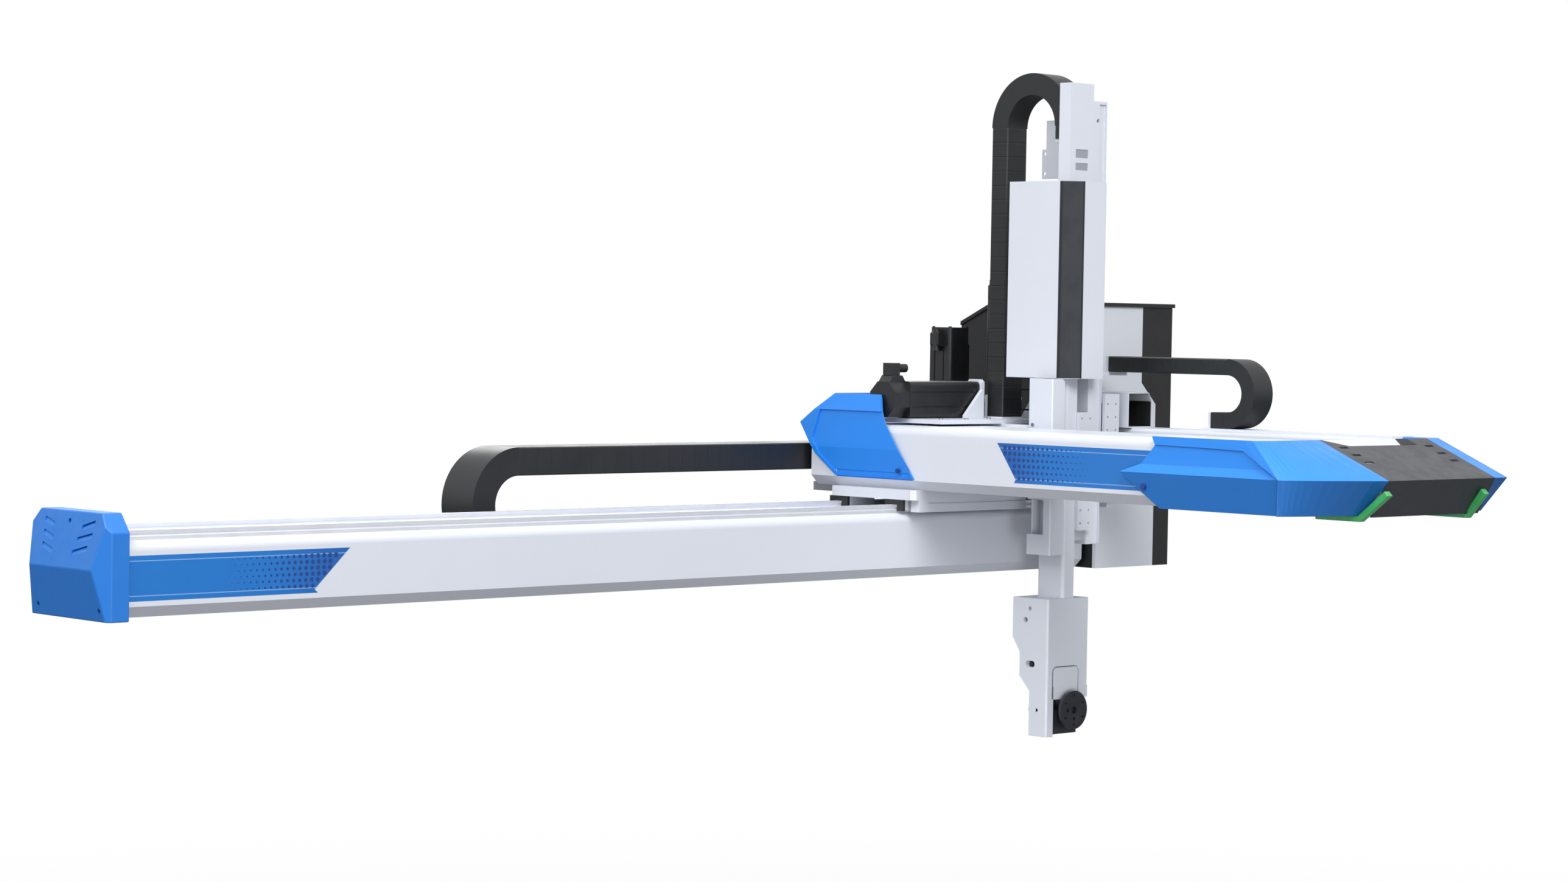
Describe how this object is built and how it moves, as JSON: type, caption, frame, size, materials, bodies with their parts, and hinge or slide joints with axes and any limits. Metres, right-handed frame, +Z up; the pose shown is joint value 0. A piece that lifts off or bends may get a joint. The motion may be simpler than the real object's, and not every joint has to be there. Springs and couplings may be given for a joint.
{
  "type": "cartesian robot",
  "caption": "Cartesian gantry robot for taking parts from a moulding machine: traverse beam, demould beam, telescopic vertical arm and tilting wrist.",
  "frame": {"origin": "centre of the four foot bolts on the traverse beam's underside", "axes": "+X along the traverse beam towards the cabinet, +Y away from the mould side, +Z up"},
  "size_m": [3.6027, 1.981, 1.823],
  "materials": {
    "white_profile": "satin white powder coat on extruded aluminium",
    "white_plate": "satin white paint on machined plate",
    "white_sheet": "fine powder coat on sheet",
    "rail_steel": "ground steel",
    "rack_steel": "milled steel",
    "blue_cover": "satin blue moulding",
    "black_sheet": "matt black powder coat",
    "black_cabinet": "fine-textured black powder coat",
    "black_plastic": "moulded",
    "motor_black": "semi-matt black casting",
    "black_wrist": "black anodised",
    "chain_plastic": "moulded polyamide links",
    "belt_rubber": "toothed belt",
    "green_light": "diffusing light bar"
  },
  "bodies": {
    "base": {"traverse_beam": "white_profile", "traverse_rails": "rail_steel", "traverse_rack": "rack_steel", "beam_end_cap": "blue_cover", "chain_tray": "white_sheet", "traverse_chain_lower": "chain_plastic", "cabinet_carcass": "black_cabinet", "cabinet_door": "white_sheet", "cabinet_hood": "black_cabinet"},
    "traverse_bend_base": {"traverse_bend_lower": "chain_plastic"},
    "carriage": {"carriage_plate": "white_plate", "carriage_blocks": "rail_steel", "rail_wipers": "black_plastic", "traverse_gearbox": "motor_black", "traverse_motor": "motor_black", "demould_beam": "white_profile", "demould_rails": "rail_steel", "rear_cover": "blue_cover", "nose_cover_left": "blue_cover", "nose_cover_right": "blue_cover", "nose_plate": "black_sheet", "light_strips": "green_light", "nose_frame": "white_plate", "tray_beam": "white_profile", "demould_rack": "rack_steel", "hose_box": "white_sheet", "demould_chain_lower": "chain_plastic", "traverse_chain_upper": "chain_plastic"},
    "traverse_bend_carriage": {"traverse_bend_upper": "chain_plastic"},
    "traverse_pinion": {"traverse_pinion": "rack_steel"},
    "demould_bend_beam": {"demould_bend_lower": "chain_plastic"},
    "arm_carriage": {"arm_frame": "white_plate", "arm_blocks": "rail_steel", "guide_column": "white_plate", "right_front_plate": "white_plate", "arm_cover": "white_sheet", "lift_motor": "motor_black", "lift_flange": "white_plate", "lift_belt": "belt_rubber", "demould_drive": "white_plate", "demould_motor": "motor_black", "lift_chain_fixed": "chain_plastic", "demould_chain_upper": "chain_plastic"},
    "demould_bend_arm": {"demould_bend_upper": "chain_plastic"},
    "demould_pinion": {"demould_pinion": "rack_steel"},
    "lift_pinion": {"lift_pinion": "rack_steel"},
    "drive_shaft": {"drive_shaft": "rack_steel"},
    "lift_bend_carriage": {"lift_bend_rear": "chain_plastic"},
    "outer_arm": {"outer_stage": "white_profile", "outer_rail": "rail_steel", "head_guard": "white_sheet", "telescope_blocks": "rail_steel", "telescope_plate": "white_plate", "lift_chain_moving": "chain_plastic"},
    "lift_bend_arm": {"lift_bend_front": "chain_plastic"},
    "inner_arm": {"inner_stage": "white_profile", "wrist_box": "white_plate", "wrist_hatch": "white_sheet"},
    "wrist": {"wrist_head": "black_wrist", "tool_disc": "black_wrist"}
  },
  "joints": [
    {"name": "traverse", "type": "slide", "parent": "base", "child": "carriage", "axis": [1, 0, 0], "range_m": [-2.4, 0]},
    {"name": "traverse_bend_on_base", "type": "slide", "parent": "base", "child": "traverse_bend_base", "axis": [1, 0, 0], "range_m": [-1.2001, 0.0001], "deforming": ["traverse_chain_lower"]},
    {"name": "traverse_bend_on_carriage", "type": "slide", "parent": "carriage", "child": "traverse_bend_carriage", "axis": [1, 0, 0], "range_m": [-0.0001, 1.2001], "deforming": ["traverse_chain_upper"]},
    {"name": "traverse_pinion_turn", "type": "hinge", "parent": "carriage", "child": "traverse_pinion", "pos_m": [0.364, 0.182, 0.16], "axis": [0, 0, 1], "range_deg": [-1, 4584.66]},
    {"name": "demould", "type": "slide", "parent": "carriage", "child": "arm_carriage", "axis": [0, 1, 0], "range_m": [-0.8, 0.07]},
    {"name": "demould_bend_on_beam", "type": "slide", "parent": "carriage", "child": "demould_bend_beam", "axis": [0, 1, 0], "range_m": [-0.4001, 0.0351], "deforming": ["demould_chain_lower"]},
    {"name": "demould_bend_on_arm", "type": "slide", "parent": "arm_carriage", "child": "demould_bend_arm", "axis": [0, 1, 0], "range_m": [-0.0351, 0.4001], "deforming": ["demould_chain_upper"]},
    {"name": "demould_pinion_turn", "type": "hinge", "parent": "arm_carriage", "child": "demould_pinion", "pos_m": [0.429, 0.018, 0.38], "axis": [0, 0, 1], "range_deg": [-134.69, 1528.89]},
    {"name": "lift", "type": "slide", "parent": "arm_carriage", "child": "outer_arm", "axis": [0, 0, 1], "range_m": [-0.75, 0.03]},
    {"name": "lift_pinion_turn", "type": "hinge", "parent": "arm_carriage", "child": "lift_pinion", "pos_m": [0.34, -0.248, 0.482], "axis": [1, 0, 0], "range_deg": [-58.3, 1433.39]},
    {"name": "drive_shaft_turn", "type": "hinge", "parent": "arm_carriage", "child": "drive_shaft", "pos_m": [0.34, -0.037, 0.482], "axis": [1, 0, 0], "range_deg": [-58.3, 1433.39]},
    {"name": "lift_bend_on_carriage", "type": "slide", "parent": "arm_carriage", "child": "lift_bend_carriage", "axis": [0, 0, 1], "range_m": [-0.3751, 0.0151], "deforming": ["lift_chain_fixed"]},
    {"name": "lift_bend_on_arm", "type": "slide", "parent": "outer_arm", "child": "lift_bend_arm", "axis": [0, 0, 1], "range_m": [-0.0151, 0.3751], "deforming": ["lift_chain_moving"]},
    {"name": "telescope", "type": "slide", "parent": "outer_arm", "child": "inner_arm", "axis": [0, 0, 1], "range_m": [-0.7501, 0.0301]},
    {"name": "wrist_tilt", "type": "hinge", "parent": "inner_arm", "child": "wrist", "pos_m": [0.248, -0.35, -0.361], "axis": [1, 0, 0], "range_deg": [0, 90]}
  ],
  "couplings": [
    {"joint": "traverse_bend_on_base", "follows": "traverse", "ratio": 0.5},
    {"joint": "traverse_bend_on_carriage", "follows": "traverse", "ratio": -0.5},
    {"joint": "traverse_pinion_turn", "follows": "traverse", "rad_per_m": -33.333},
    {"joint": "demould_bend_on_beam", "follows": "demould", "ratio": 0.5},
    {"joint": "demould_bend_on_arm", "follows": "demould", "ratio": -0.5},
    {"joint": "demould_pinion_turn", "follows": "demould", "rad_per_m": -33.333},
    {"joint": "lift_pinion_turn", "follows": "lift", "rad_per_m": -33.333},
    {"joint": "drive_shaft_turn", "follows": "lift", "rad_per_m": -33.333},
    {"joint": "lift_bend_on_carriage", "follows": "lift", "ratio": 0.5},
    {"joint": "lift_bend_on_arm", "follows": "lift", "ratio": -0.5},
    {"joint": "telescope", "follows": "lift", "ratio": 1}
  ]
}
